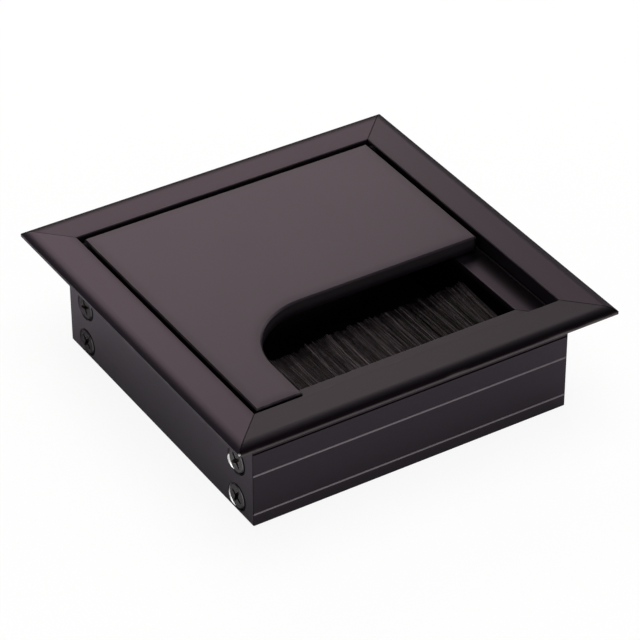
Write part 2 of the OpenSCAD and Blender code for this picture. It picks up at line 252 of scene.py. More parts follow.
def screw_place(tree, at):
    """Where a point lies round the nearest screw: across and rise, its distances along the rail and upwards
    from the screw's axis, end, -1 at the front and 1 at the rear, and level, -1 for lower and 1 for upper."""
    end = work_out(tree, "SIGN", at.y)
    level = work_out(tree, "SIGN", minus(tree, at.z, port_middle))
    across = minus(tree, at.y, times(tree, end, port_out))
    rise = minus(tree, at.z, work_out(tree, "MULTIPLY_ADD", level, port_half, port_middle))
    return across, rise, end, level


# Painted light and shade round a rail's section: the corner where the colour is painted lighter, the
# band of painted shade by the inner lip, and where the rolled rim, the lip under it and the skirt begin.
lit_corner = (0.0500, -0.0500, 0.0295)
lit_corner_fade = 50.0
lit_corner_gain = 2.0
lip_band = 0.0020
top_skin = 0.0003
rolled_to = 0.0496
lip_low = 0.0280
lip_step = 0.0003
skirt_step = 0.0004
skirt_skin = 0.0008


def shade_section(tree, place, at, colour, share, skirt, rim_from, rim_share, lip_share, corner_light, lip_shade):
    """Painted light and shade round a rail's section: lighter by an exponential of the distance from the
    front right corner, painted shade by the inner lip, then other shares over the rolled rim, painted darker
    as shade, on the lip under it, painted lighter or darker as it is lit, and on the skirt, painted darker as
    shade. Gives the colour and the mask of the rolled rim."""
    # Painted light: the colour grows lighter towards the front right corner.
    near_lit_corner = work_out(tree, "EXPONENT", times(tree, away_from(tree, place, lit_corner), -lit_corner_fade))
    colour = blend(tree, times(tree, near_lit_corner, corner_light), colour,
                   scale_colour(anodised_light, np.multiply(share, lit_corner_gain)))
    # Painted shade in a band beside the inner lip.
    by_lip = times(tree, ramp(tree, at.reach, lip_in, lip_in + lip_band, lip_shade, 0.0),
                   over(tree, at.z, frame_top - top_skin))
    colour = blend(tree, by_lip, colour, painted_shade)
    # Painted shade over the rolled rim.
    rolled = times(tree, ramp(tree, at.reach, rim_from, rolled_to),
                   ramp(tree, at.z, lip_low, lip_low + lip_step))
    colour = blend(tree, rolled, colour, scale_colour(anodised_dark, np.multiply(share, rim_share)))
    # The lip under the rim, painted lighter or darker as it is lit.
    on_lip = times(tree, over(tree, at.reach, rolled_to),
                   ramp(tree, at.z, lip_low, lip_low + lip_step, 1.0, 0.0))
    colour = blend(tree, on_lip, colour, scale_colour(lip_light, lip_share))
    # Painted shade on the skirt's outer faces.
    on_skirt = times(tree, ramp(tree, at.z, flange_low - skirt_step, flange_low, 1.0, 0.0),
                     over(tree, at.reach, skirt_face - skirt_skin))
    return blend(tree, on_skirt, colour, scale_colour(anodised_light, skirt)), rolled


# Marks on a rail: the width of rubbed edges, how far the painted shade beside the mitres goes, the size of
# the painted glint on one corner and of the painted shade in the ledge's root.
rail_rub = 0.0006
rail_rub_share = 0.25
mitre_shade_full = 0.03
mitre_shade_gone = 0.08
mitre_dark = 0.6
mitre_near = 0.00014
mitre_far = 0.00028
glint_corner = (-0.0500, -0.0500, 0.0285)
glint_in = 0.00032
glint_out = 0.00052
root_near = 0.0004
root_far = 0.0008
root_dark = 0.75


def wear_and_shade_rail(tree, place, at, colour):
    """The marks on a rail: dye rubbed at the rim, the inner lip and the bottom edge, painted shade beside the
    mitres, which fades out towards the rear left, a painted glint on one corner of the rim, and painted shade
    in the ledge's root."""
    edge = far_from(tree, at.reach, at.z, rim_out, rim_low)
    for edge_reach, edge_z in ((lip_in, frame_top), (skirt_face, 0.0)):
        edge = work_out(tree, "MINIMUM", edge, far_from(tree, at.reach, at.z, edge_reach, edge_z))
    rubbed = times(tree, rub_edge(tree, place, edge, rail_rub), rail_rub_share)
    colour = blend(tree, rubbed, colour, rubbed_metal)
    # Painted shade in a band beside each mitre, fading out towards the rear left.
    off_mitre = work_out(tree, "ABSOLUTE", minus(tree, at.out_x, at.out_y))
    mitre_edge_shade = times(tree, ramp(tree, minus(tree, at.y, at.x), mitre_shade_full, mitre_shade_gone, mitre_dark, 0.0),
                       ramp(tree, off_mitre, mitre_near, mitre_far, 1.0, 0.0), over(tree, at.z, flange_low))
    colour = blend(tree, mitre_edge_shade, colour, painted_shade)
    # Painted glint: light metal colour on one corner of the rim.
    corner_glint = ramp(tree, away_from(tree, place, glint_corner), glint_in, glint_out, 1.0, 0.0)
    colour = blend(tree, corner_glint, colour, painted_glint)
    # Painted shade in the corner where the ledge meets the inner lip.
    in_root = far_from(tree, at.reach, at.z, lip_in, ledge_top)
    return blend(tree, ramp(tree, in_root, root_near, root_far, root_dark, 0.0), colour, painted_shade)


# Fine lines on the outer faces of the front and rear rails, over the shallow grooves, painted lighter as
# their highlights.
line_heights = (0.0033, 0.0139)
line_half = 0.00025
line_fade = 0.00032
line_skin = 0.00025


def paint_line_highlights(tree, at, colour):
    """The two fine lines along the outer face of a front or rear rail, painted lighter as their highlights.
    """
    lower, upper = (work_out(tree, "ABSOLUTE", minus(tree, at.z, height)) for height in line_heights)
    in_line = times(tree, ramp(tree, work_out(tree, "MINIMUM", lower, upper), line_half, line_fade, 1.0, 0.0),
                    over(tree, at.out_y, skirt_face - line_skin))
    # Painted highlight along each fine line.
    return blend(tree, in_line, colour, line_highlight)


# Ledge of a side rail: where the painted shade on it begins and where it is darkest, over a colour
# painted a little lighter.
ledge_lit = 0.0350
ledge_dark = 0.0374
ledge_shade = 0.62
ledge_skin = 0.0006
ledge_gain = 1.08


def shade_ledge(tree, at, colour, share):
    """The top of a side rail's ledge, painted a little lighter, with painted shade growing darker outwards,
    towards the lip.
    """
    near_top = under(tree, work_out(tree, "ABSOLUTE", minus(tree, at.z, ledge_top)), ledge_skin)
    on_ledge = times(tree, near_top, under(tree, at.reach, lip_in - ledge_skin))
    # Painted shade on the ledge, darker towards the lip.
    deep = ramp(tree, at.reach, ledge_lit, ledge_dark, 0.0, ledge_shade)
    ledge = blend(tree, deep, scale_colour(anodised_light, np.multiply(share, ledge_gain)), painted_shade)
    return blend(tree, on_ledge, colour, ledge)


# Countersinks: how far the painted shadow lies off each one, and how far off the front ones the painted glint
# lies.
# Each end of a crescent has its span of rise and the shares of that offset that taper it.
shade_shift = 0.00075
shade_lift = 0.00035
shade_soft = 0.0002
shade_dull = 0.8
off_lower = 0.00014
off_upper = 0.00055
off_across = 0.85
off_down = 0.53
crescent_ends = ((-0.0017, 0.0005, 0.0, 1.45), (-0.0034, -0.0023, 1.27, 0.0))
crescent_from = 0.0008
glint_soft = 0.0001
glint_smooth = -0.06


def countersink_light_and_shade(tree, at, colour, dull, rough):
    """The countersinks of a side rail. Painted shadow, dark and dull, fills a circle a little off each one.
    At the front a second circle, off to the other side and further for the upper screws, sets a painted glint
    of light
    metal colour: what lies outside the cone shows as a crescent, whose ends taper, and the upper cone carries
    the glint on that side too."""
    across, rise, end, level = screw_place(tree, at)
    # Painted shadow: a dark, dull circle a little off each countersink.
    shaded = ramp(tree, far_from(tree, across, rise, -shade_shift, shade_lift),
                  countersink_r, countersink_r + shade_soft, 1.0, 0.0)
    colour = blend(tree, shaded, colour, painted_shade)
    dull = work_out(tree, "MAXIMUM", dull, times(tree, shaded, shade_dull))
    # Painted glint: an off-centre circle at the front countersinks, shown outside the cone as a crescent.
    off = ramp(tree, level, -1.0, 1.0, off_lower, off_upper)
    cut = far_from(tree, across, rise, times(tree, off, off_across), times(tree, off, -off_down))
    for low, high, from_share, to_share in crescent_ends:
        taper = ramp(tree, rise, low, high, from_share, to_share)
        cut = work_out(tree, "MULTIPLY_ADD", taper, off, cut)
    kept_cone = ramp(tree, level, -1.0, 1.0, countersink_r - glint_soft, 0.0)
    crescent_glint = times(tree, ramp(tree, cut, countersink_r, countersink_r + glint_soft, 1.0, 0.0),
                 under(tree, end, 0.0), over(tree, across, crescent_from),
                 over(tree, far_from(tree, across, rise), kept_cone))
    colour = blend(tree, crescent_glint, colour, painted_glint)
    dull = times(tree, dull, minus(tree, 1.0, crescent_glint))
    return colour, dull, work_out(tree, "MULTIPLY_ADD", crescent_glint, glint_smooth, rough)


# Slope of the level faces, and the shoulder over which the rim's roll begins.
flange_slope = 0.0300
shoulder_in = 0.04735
shoulder_mid = 0.0487
ledge_rise = 0.001


def lean_outwards(tree, at, holes, roll_back):
    """The normal of level faces that fall away outwards by a degree or two: their height falls in step with
    reach, twice as fast on a side rail's ledge, and a step of roll_back eases the start of the roll."""
    fall = -1.0
    if holes:
        fall = work_out(tree, "MULTIPLY_ADD", under(tree, at.z, ledge_top + ledge_rise), -1.0, fall)
    eased = ramp(tree, at.reach, shoulder_in, shoulder_mid, 0.0, roll_back)
    return bumped(tree, work_out(tree, "MULTIPLY_ADD", at.reach, fall, eased), 1.0, flange_slope)


def rail_material(name, along, holes, tint, share, skirt, rim_from, rim_share, rim_rough, rim_dull,
                  roll_back, lip_share, corner_light, lip_shade):
    """An anodised rail, drawn along one axis, with holes for screws in a side rail or painted highlight lines
    on a front or rear one. tint colours its grazing reflections. share, skirt, rim_share and lip_share say
    how light the colour is painted on the flange, the skirt, the rolled rim and the lip, set rail by rail as
    each is lit or shaded.
    The rim starts at rim_from, rim_rough and rim_dull take off its gloss, rim_dull letting its painted shade
    show as a dull colour, and roll_back eases its start. corner_light is how much lighter the colour is
    painted towards the front right corner, and lip_shade how much painted shade lies by the inner lip."""
    material, tree, shader, place = start_material(name, 1.0, edge_tint=tint, shine=0.0)
    at = frame_place(tree, place)
    look = lay_skin(tree, place, along)
    # The flange's colour, scaled by the rail's share, so that it is painted lighter or darker as the rail is
    # lit.
    colour = blend(tree, look["Cloud"], scale_colour(anodised_dark, share), scale_colour(anodised_light, share))
    colour, rolled = shade_section(
        tree, place, at, colour, share, skirt, rim_from, rim_share, lip_share, corner_light, lip_shade)
    colour = wear_and_shade_rail(tree, place, at, colour)
    dull = times(tree, rolled, rim_dull)
    rough = work_out(tree, "MULTIPLY_ADD", rolled, rim_rough, look["Roughness"])
    if holes:
        colour = shade_ledge(tree, at, colour, share)
        colour, dull, rough = countersink_light_and_shade(tree, at, colour, dull, rough)
    else:
        colour = paint_line_highlights(tree, at, colour)
    slope = lean_outwards(tree, at, holes, roll_back)
    feed(tree, shader, {"Base Color": colour, "Roughness": rough,
                        "Normal": bumped(tree, look["Height"], skin_bump, skin_depth, slope)})
    if holes or rim_dull:
        feed(tree, shader, {"Metallic": minus(tree, 1.0, dull)})
    return material


# Each rail has its own shares and tint, so that its colour is painted lighter or darker as that rail is lit,
# with its own painted shade and light on the rim, the lip and the skirt.
rail_finishes = {
    "front_rail": dict(
        along=along_x, holes=False, tint=(1, 1, 1, 1), share=(0.82, 0.89, 0.83), skirt=0.65, rim_from=0.0479,
        rim_share=(0.36, 0.27, 0.32), rim_rough=0.0, rim_dull=0.0, roll_back=0.0029, lip_share=0.96,
        corner_light=0.5, lip_shade=0.08),
    "rear_rail": dict(
        along=along_x, holes=False, tint=(0.75, 0.75, 0.75, 1), share=(1.03, 1.00, 0.99), skirt=0.74,
        rim_from=0.0466, rim_share=0.40, rim_rough=0.50, rim_dull=0.10, roll_back=0.0, lip_share=1.0,
        corner_light=0.0, lip_shade=0.10),
    "left_rail": dict(
        along=along_y, holes=True, tint=(0.91, 0.89, 0.93, 1), share=(1.18, 1.17, 1.14), skirt=0.70,
        rim_from=0.0482, rim_share=(0.66, 0.67, 0.74), rim_rough=0.0, rim_dull=0.0, roll_back=0.0014,
        lip_share=0.22, corner_light=0.0, lip_shade=0.30),
    "right_rail": dict(
        along=along_y, holes=True, tint=(0.80, 0.80, 0.80, 1), share=(0.95, 0.95, 0.95), skirt=0.72,
        rim_from=0.0476, rim_share=0.80, rim_rough=0.40, rim_dull=0.0, roll_back=0.0014, lip_share=1.0,
        corner_light=0.5, lip_shade=0.12),
}
for rail, finish in rail_finishes.items():
    dress([rail], rail_material(f"anodised_{rail}", **finish))

# Eight countersunk cross-head screws: steel with a thin black zinc coat, driven through the side rails into
# the screw ports. The coat is rubbed where the driver turned and in the recess, one side of each head's rim
# carries a painted highlight, and the rear screws are painted darker as shade and are duller.
screw_ends = [f"{end}_{level}" for end in ("front", "rear") for level in ("upper", "lower")]
screws = [f"screw_{side}_{end}" for side in ("left", "right") for end in screw_ends]
black_coat = (0.0480, 0.0430, 0.0470, 1)
driven_coat = (0.1000, 0.0950, 0.0950, 1)
# rear_shade_coat is painted on the rear screws, darker as shade.
rear_shade_coat = (0.0240, 0.0200, 0.0240, 1)
recess_steel = (0.2000, 0.1750, 0.1650, 1)
# rim_highlight_colour is painted along one side of each head's rim as a highlight.
rim_highlight_colour = (0.1300, 0.1220, 0.1260, 1)
head_top = 0.04195
head_skin = 0.00008
bevel_in = 0.00278
recess_reach = 0.00206
driven_in, driven_out = 0.0009, 0.0022
highlight_across = (-0.0026, -0.0016)
highlight_rise = (-0.0016, -0.0004)
rear_from, rear_to = -0.01, 0.01
flake_fineness = 1500.0
flake_from, flake_to = 0.45, 0.65
noise_span = (0.30, 0.70)
coat_smooth, coat_rough, thick_rough = 0.26, 0.40, 0.26
screw_coat, tree, shader, place = start_material("black_screw_coat", 1.0)
at = frame_place(tree, place)
across, rise = screw_place(tree, at)[:2]
from_axis = far_from(tree, across, rise)
flakes = noise(tree, place, flake_fineness, 4.0)
driven = times(tree, ramp(tree, from_axis, driven_in, driven_out, 1.0, 0.0),
               ramp(tree, flakes, flake_from, flake_to))
in_recess = times(tree, under(tree, at.out_x, head_top - head_skin), under(tree, from_axis, recess_reach))
# Painted highlight along one side of the head's rim.
rim_highlight = times(tree, over(tree, from_axis, bevel_in), ramp(tree, across, *highlight_across, 1.0, 0.0),
                   ramp(tree, rise, *highlight_rise))
at_rear = ramp(tree, at.y, rear_from, rear_to)
# Painted shade: the rear screws are darker.
colour = blend(tree, at_rear, black_coat, rear_shade_coat)
colour = blend(tree, driven, colour, blend(tree, at_rear, driven_coat, black_coat))
colour = blend(tree, in_recess, colour, recess_steel)
colour = blend(tree, rim_highlight, colour, rim_highlight_colour)
thick = times(tree, at_rear, minus(tree, 1.0, in_recess))
rough = ramp(tree, flakes, *noise_span, coat_smooth, coat_rough)
rough = work_out(tree, "MULTIPLY_ADD", thick, thick_rough, rough)
feed(tree, shader, {"Base Color": colour, "Roughness": rough,
                    "Normal": bumped(tree, flakes, strength=0.15, depth=0.00003)})
dress(screws, screw_coat)

# Channel and core wire of the brush: galvanised steel strip folded over the bristles, and a drawn steel wire
# inside the fold. Both slide into the front rail's slot from its end before the frame is screwed together.
zinc_dark = (0.3600, 0.3650, 0.3750, 1)
zinc_light = (0.5400, 0.5450, 0.5500, 1)
spangle_fineness = 520.0
scratched_along_x = (15.0, 4000.0, 4000.0)
zinc_rough, scratch_rough = 0.22, 0.25
zinc, tree, shader, place = start_material("galvanised_strip", 1.0)
spangle = put(tree, "ShaderNodeTexVoronoi", {"Vector": place, "Scale": spangle_fineness}).outputs["Color"]
grains = put(tree, "ShaderNodeSeparateColor", {0: spangle}).outputs[0]
stretched = put(tree, "ShaderNodeMapping", {"Vector": place, "Scale": scratched_along_x}).outputs[0]
scratches = noise(tree, stretched, 1.0, 3.0)
feed(tree, shader, {"Base Color": blend(tree, grains, zinc_dark, zinc_light),
                    "Roughness": work_out(tree, "MULTIPLY_ADD", scratches, scratch_rough, zinc_rough),
                    "Normal": bumped(tree, scratches, strength=0.2, depth=0.00002)})
dress(["brush_channel", "brush_core_wire"], zinc)

# Bristles: tufts of black nylon strand, folded over the core wire and gripped by the channel. Each tuft leans
# and ends a little differently, and the strands hang and fan out towards their ends. A few strands are
# painted lighter as highlights, and the strands are painted darker towards the right end and lighter towards
# the left, as shade and light fall there.
brush_seed = 11
tufts = 66
strands_in_tuft = 42
strand_rings = 6
strand_sides = 4
brush_left = -0.03265
brush_right = 0.03050
brush_room = 0.0331
root_y = -0.0376
mouth_y = -0.0330
brush_mid = 0.0221
mouth_half = 0.00082
tip_x = (-0.0327, -0.0197, -0.0045, 0.0190, 0.0327)
tip_y = (-0.0176, -0.0171, -0.0152, -0.0149, -0.0137)
tip_spare = 0.0004
strand_r = 0.000072
strand_taper = 0.40
radius_spread = (0.85, 1.2)
tuft_fill = (0.02, 0.98)
# A share of the strands, in the upper layers, is painted lighter as highlights.
bright_share = 0.075
bright_short = 0.5
bright_layer = (0.6, 1)
bright_tone = (0.5, 1.4)
tuft_lean, strand_lean = 0.00018, 0.00028
tuft_lift, strand_lift = 0.00010, 0.00016
tuft_short, strand_short = 0.00030, 0.0010
sag = -0.0006
layer_spread = 0.20
lean_power, lift_power, fan_power = 1.5, 1.2, 5
fan_least, fan_more = 0.0003, 0.0007
tone_spread = 0.04
# Painted shade darkens the strands towards the right end, and painted light lightens them towards the left.
dim_x, dim_by = (0.002, 0.018), (0.0, 0.45)
grey_x, grey_by = (-0.022, 0.004, 0.008, 0.020), (0.13, 0.03, 0.03, 0.0)


def brush_surface():
    """Strands as thin tubes: along each one s runs from the root to the tip, and angle runs round it. The
    centre leaves the mouth straight, then drifts with a low power of its free length towards its own tip; the
    radius shrinks evenly with s. Tufts share a lean, a length and a lift, and every strand adds its own.
    Gives the points, each strand's tone, and how far along its free length every point is."""
    rng = np.random.default_rng(brush_seed)
    count = tufts * strands_in_tuft
    tuft = np.repeat(np.arange(tufts), strands_in_tuft)
    pitch = (brush_right - brush_left) / tufts
    root_x = brush_left + (tuft + rng.uniform(*tuft_fill, count)) * pitch
    # Painted highlights: these strands are lighter.
    bright = rng.uniform(0, 1, count) < bright_share
    layer = np.where(bright, rng.uniform(*bright_layer, count), rng.uniform(-1, 1, count))
    root_z = brush_mid + layer * mouth_half
    lean = rng.normal(0, tuft_lean, tufts)[tuft] + rng.normal(0, strand_lean, count)
    fan = fan_least + fan_more * np.clip(root_x / brush_right, 0, 1) ** fan_power
    lift = rng.normal(sag, tuft_lift, tufts)[tuft] + rng.normal(0, strand_lift, count)
    lift = lift + layer_spread * (root_z - brush_mid)
    short = np.abs(rng.normal(0, tuft_short, tufts))[tuft]
    short = short + np.abs(rng.normal(0, strand_short, count)) * np.where(bright, bright_short, 1)
    end_x = np.clip(root_x + lean + fan, -brush_room, brush_room)
    end_y = np.interp(root_x, tip_x, tip_y) + tip_spare - short
    s = np.linspace(0, 1, strand_rings)
    y = root_y + (end_y[:, None] - root_y) * s
    free = np.clip((y - mouth_y) / (end_y[:, None] - mouth_y), 0, 1)
    x = root_x[:, None] + (end_x - root_x)[:, None] * free ** lean_power
    z = root_z[:, None] + lift[:, None] * free ** lift_power
    turn = np.arange(strand_sides) * 2 * np.pi / strand_sides
    angle = rng.uniform(0, 2 * np.pi, count)[:, None, None] + turn
    radius = (strand_r * rng.uniform(*radius_spread, count)[:, None] * (1 - strand_taper * s))[:, :, None]
    ring = np.stack([
        x[:, :, None] + radius * np.cos(angle),
        np.broadcast_to(y[:, :, None], (count, strand_rings, strand_sides)),
        z[:, :, None] + radius * np.sin(angle),
    ], axis=-1)
    tone = tone_spread * rng.uniform(0, 1, tufts)[tuft]
    tone = tone + np.where(bright, rng.uniform(*bright_tone, count), rng.uniform(0, tone_spread, count))
    # Painted shade towards the right end, painted light towards the left.
    tone = tone * (1 - np.interp(root_x, dim_x, dim_by)) + np.interp(root_x, grey_x, grey_by)
    tone = np.broadcast_to(tone[:, None, None], ring.shape[:3])
    along = np.broadcast_to(free[:, :, None], ring.shape[:3])
    return ring, tone, along


def strand_mesh(name, ring, tone, along):
    """Joins neighbouring points of each strand's grid by quads, and closes its root and its tip with one quad
    each. tone and along become attributes of the points."""
    count, rings, sides = ring.shape[:3]
    index = np.arange(count * rings * sides).reshape(count, rings, sides)
    turned = np.roll(index, -1, axis=2)
    walls = np.stack([index[:, :-1], index[:, 1:], turned[:, 1:], turned[:, :-1]], axis=-1).reshape(-1, 4)
    quads = np.concatenate([walls, index[:, 0], index[:, -1, ::-1]])
    mesh = bpy.data.meshes.new(name)
    mesh.vertices.add(index.size)
    mesh.vertices.foreach_set("co", ring.reshape(-1))
    mesh.loops.add(quads.size)
    mesh.loops.foreach_set("vertex_index", quads.reshape(-1))
    mesh.polygons.add(len(quads))
    mesh.polygons.foreach_set("loop_start", np.arange(0, quads.size, 4))
    mesh.polygons.foreach_set("use_smooth", np.ones(len(quads), bool))
    for label, values in (("strand_tone", tone), ("strand_along", along)):
        attribute = mesh.attributes.new(label, "FLOAT", "POINT")
        attribute.data.foreach_set("value", np.ascontiguousarray(values, np.float32).reshape(-1))
    mesh.update(calc_edges=True)
    mesh.validate()
    return mesh


def add_piece(name, mesh, material):
    """Puts a mesh with its material into the scene, as an object at the origin."""
    mesh.materials.append(material)
    piece = bpy.data.objects.new(name, mesh)
    bpy.context.scene.collection.objects.link(piece)
    return piece


strand_dark = (0.0036, 0.0026, 0.0030, 1)
strand_grey = (0.1000, 0.0800, 0.0870, 1)
strand_edge = (1.0, 0.84, 0.88, 1)
strand_smooth, strand_rough = 0.32, 0.50
root_grey, tip_grey = 0.8, 0.2
haze_fineness = 900.0
nylon_strand, tree, shader, place = start_material(
    "black_nylon_strand", 0.0, edge_tint=strand_edge, shine=0.19)
own_tone = put(tree, "ShaderNodeAttribute", attribute_name="strand_tone").outputs["Fac"]
own_along = put(tree, "ShaderNodeAttribute", attribute_name="strand_along").outputs["Fac"]
haze = noise(tree, place, haze_fineness, 3.0)
grey = times(tree, own_tone, work_out(tree, "MULTIPLY_ADD", own_along, tip_grey, root_grey))
feed(tree, shader, {"Base Color": blend(tree, grey, strand_dark, strand_grey),
                    "Roughness": ramp(tree, haze, *noise_span, strand_smooth, strand_rough),
                    "Normal": bumped(tree, haze, strength=0.2, depth=0.00003)})
bristles = add_piece("brush_strands", strand_mesh("brush_strands", *brush_surface()), nylon_strand)
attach(bristles, "frame")
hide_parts("brush_bristles")

# Lid: a flat aluminium plate sawn from bar, its cut-away corner milled, chamfered along the top, its edges
# rolled slightly in polishing, and anodised with the rails. Its colour is painted darker as shade along its
# edges and on its outer chamfer and sides, and the cut-away's wall is duller and painted lighter near its
# top, fading into shade lower down. It lies on the ledge and flips up about two pins at its rear edge.
lid_reach = 0.03905
lid_top = 0.0293
lid_low = 0.02565
notch_left = -0.0273
notch_rear = -0.0088
notch_r = 0.0180
edge_roll = 0.0030
edge_fall = 7.0
# Painted shade along the lid's edges.
edge_dark = 0.20
side_skin = 0.0006
# Painted shade on the lid's outer chamfer and sides.
chamfer_low = 0.00030
chamfer_high = 0.00005
chamfer_dark = 0.35
# The cut-away's wall: duller, and painted lighter near its top, fading into shade lower down.
wall_light_top = 0.00045
wall_light_bottom = 0.00040
wall_light_full = 0.00280
wall_light_dull = 0.75
wall_light_colour = (0.0165, 0.0130, 0.0150, 1)
lid_share = 1.06
lid_rub = 0.0007
lid_rub_share = 0.5
lid_skin, tree, shader, place = start_material("anodised_lid", 1.0)
at = frame_place(tree, place)
look = lay_skin(tree, place, along_y)
past_left = work_out(tree, "MAXIMUM", minus(tree, notch_left + notch_r, at.x), 0.0)
past_rear = work_out(tree, "MAXIMUM", minus(tree, at.y, notch_rear - notch_r), 0.0)
from_notch = minus(tree, far_from(tree, past_left, past_rear), notch_r)
from_edge = work_out(tree, "MINIMUM", from_notch, minus(tree, lid_reach, at.reach))
colour = blend(tree, look["Cloud"], scale_colour(anodised_dark, lid_share), scale_colour(anodised_light, lid_share))
# Painted shade along the lid's edges.
colour = blend(tree, ramp(tree, from_edge, 0.0, edge_roll, edge_dark, 0.0), colour, painted_shade)
rubbed = rub_edge(tree, place, far_from(tree, at.reach, at.z, lid_reach, lid_top), lid_rub)
colour = blend(tree, times(tree, rubbed, lid_rub_share), colour, rubbed_metal)
# The cut-away's wall: duller, and painted lighter near its top, fading into shade lower down.
wall_light = times(tree, ramp(tree, at.z, lid_top - wall_light_top, lid_top - chamfer_low, 1.0, 0.0),
             ramp(tree, at.z, lid_low + wall_light_bottom, lid_low + wall_light_full),
             under(tree, at.reach, lid_reach - side_skin))
colour = blend(tree, wall_light, colour, wall_light_colour)
# Painted shade on the outer chamfer and sides.
chamfer = times(tree, ramp(tree, at.z, lid_top - chamfer_low, lid_top - chamfer_high, chamfer_dark, 0.0),
                over(tree, at.reach, lid_reach - side_skin))
colour = blend(tree, chamfer, colour, painted_shade)
near_edge = work_out(tree, "MAXIMUM", minus(tree, edge_roll, from_edge), 0.0)
slope = bumped(tree, times(tree, near_edge, near_edge, -edge_fall), 1.0, 1.0)
feed(tree, shader, {"Base Color": colour, "Roughness": look["Roughness"],
                    "Metallic": work_out(tree, "MULTIPLY_ADD", wall_light, -wall_light_dull, 1.0),
                    "Normal": bumped(tree, look["Height"], skin_bump, skin_depth, slope)})
dress(["lid"], lid_skin)

# Hinge pins: ground steel dowels, pressed into the ends of the lid. They turn in blind bores in the side
# rails, and the grinding has left fine rings round them.
ground_dark = (0.4200, 0.4200, 0.4250, 1)
ground_light = (0.6000, 0.6000, 0.6000, 1)
ringed_round_x = (9000.0, 120.0, 120.0)
ground_rough, ring_rough = 0.14, 0.18
dowel, tree, shader, place = start_material("ground_dowel", 1.0)
stretched = put(tree, "ShaderNodeMapping", {"Vector": place, "Scale": ringed_round_x}).outputs[0]
rings = noise(tree, stretched, 1.0, 2.0)
feed(tree, shader, {"Base Color": blend(tree, rings, ground_dark, ground_light),
                    "Roughness": work_out(tree, "MULTIPLY_ADD", rings, ring_rough, ground_rough),
                    "Normal": bumped(tree, rings, strength=0.1, depth=0.00001)})
dress(["left_hinge_pin", "right_hinge_pin"], dowel)

# Hinge washers and lid pads: punched black nylon spacers on the pins, and thin self-adhesive rubber discs
# under the lid that land on the ledge. Both are matt, with a moulded or cast grain.
nylon_dark = (0.0012, 0.0012, 0.0012, 1)
nylon_light = (0.0030, 0.0030, 0.0030, 1)
rubber_dark = (0.018, 0.018, 0.018, 1)
rubber_light = (0.036, 0.035, 0.034, 1)
haze_coarser = 6


def moulded_material(name, dark, light, fineness, smooth, rough, shine):
    """Black plastic or rubber, or the dark sheet that stands in for the shade in the mitres: a grain of cells
    of the given fineness, and a coarser haze in its colour and gloss."""
    material, tree, shader, place = start_material(name, 0.0, shine=shine)
    cells = put(tree, "ShaderNodeTexVoronoi", {"Vector": place, "Scale": fineness}).outputs["Distance"]
    haze = noise(tree, place, fineness / haze_coarser, 3.0)
    feed(tree, shader, {"Base Color": blend(tree, haze, dark, light),
                        "Roughness": ramp(tree, haze, *noise_span, smooth, rough),
                        "Normal": bumped(tree, cells, strength=0.25, depth=0.00004)})
    return material


dress(["left_hinge_washer", "right_hinge_washer"],
      moulded_material("nylon_washer", nylon_dark, nylon_light,
                       fineness=3500.0, smooth=0.66, rough=0.82, shine=0.03))
dress(["lid_pad_corner", "lid_pad_tab", "lid_pad_right"],
      moulded_material("rubber_pad", rubber_dark, rubber_light,
                       fineness=2400.0, smooth=0.70, rough=0.88, shine=0.30))

# Mitre film: a fine black sheet in each of the four mitres, standing in for the shade in the mitre gaps. It
# stops just below the faces, so that each mitre shows as a fine dark line.
mitre_gap_dark = (0.004, 0.004, 0.004, 1)
mitre_gap_light = (0.009, 0.008, 0.009, 1)
film_half = 0.0000595
film_reach = np.array([33.40, 40.40, 40.40, 41.85, 41.85, 49.70,
                       49.70, 48.60, 47.30, 40.40, 40.40, 33.40]) / 1000
film_height = np.array([23.90, 23.90, 0.20, 0.20, 27.70, 27.70,
                        28.40, 29.00, 29.35, 29.35, 25.10, 25.10]) / 1000


def film_mesh(name):
    """The rails' section drawn slightly small, standing on each of the four diagonals: its points lie at
    equal reach along both sides of the corner, and half the film's thickness to either side of the
    diagonal."""
    corner = np.array([[1, 1], [-1, 1], [-1, -1], [1, -1]], float)
    across = np.stack([-corner[:, 1], corner[:, 0]], axis=1) * film_half / np.sqrt(2)
    sides = np.array([-1, 1])[:, None, None]
    flat = corner[:, None, None] * film_reach[:, None] + across[:, None, None] * sides
    height = np.broadcast_to(film_height[:, None], flat.shape[:3] + (1,))
    points = np.concatenate([flat, height], axis=-1)
    index = np.arange(points[..., 0].size).reshape(points.shape[:3])
    near, far = index[:, 0], index[:, 1]
    next_near, next_far = np.roll(near, -1, axis=1), np.roll(far, -1, axis=1)
    edges = np.stack([next_near, near, far, next_far], axis=-1).reshape(-1, 4)
    faces = near.tolist() + far[:, ::-1].tolist() + edges.tolist()
    mesh = bpy.data.meshes.new(name)
    mesh.from_pydata(points.reshape(-1, 3).tolist(), [], faces)
    return mesh


# The dark sheet in the mitres is painted shade.
mitre_gap_shade = moulded_material("mitre_gap_shade", mitre_gap_dark, mitre_gap_light,
                               fineness=1800.0, smooth=0.40, rough=0.60, shine=0.20)
mitre_film = add_piece("mitre_film", film_mesh("mitre_film"), mitre_gap_shade)
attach(mitre_film, "frame")

# Studio: a wide white table with a painted shadow inside the skirt, where shade lies deep under the object. A
# large softbox stands behind the object and weaker ones round it, with a fill lamp overhead, in a dim room.
# The camera and gloss see the table as white, and it keeps a faint shadow.
table_half = 6.0
table_drop = 0.00004
shadow_patch_half = 0.0415
shadow_patch = (0.04, 0.04, 0.04, 1)
table_pale = (0.92, 0.92, 0.92, 1)
seen_white = 0.90
mirrored_front, mirrored_back = 0.90, 0.13
front_edge = (-0.100, -0.072)
white_table = bpy.data.materials.new("white_table")
white_table.use_nodes = True
tree = white_table.node_tree
tree.nodes.clear()
rays = put(tree, "ShaderNodeLightPath").outputs
at = frame_place(tree, put(tree, "ShaderNodeTexCoord").outputs["Object"])
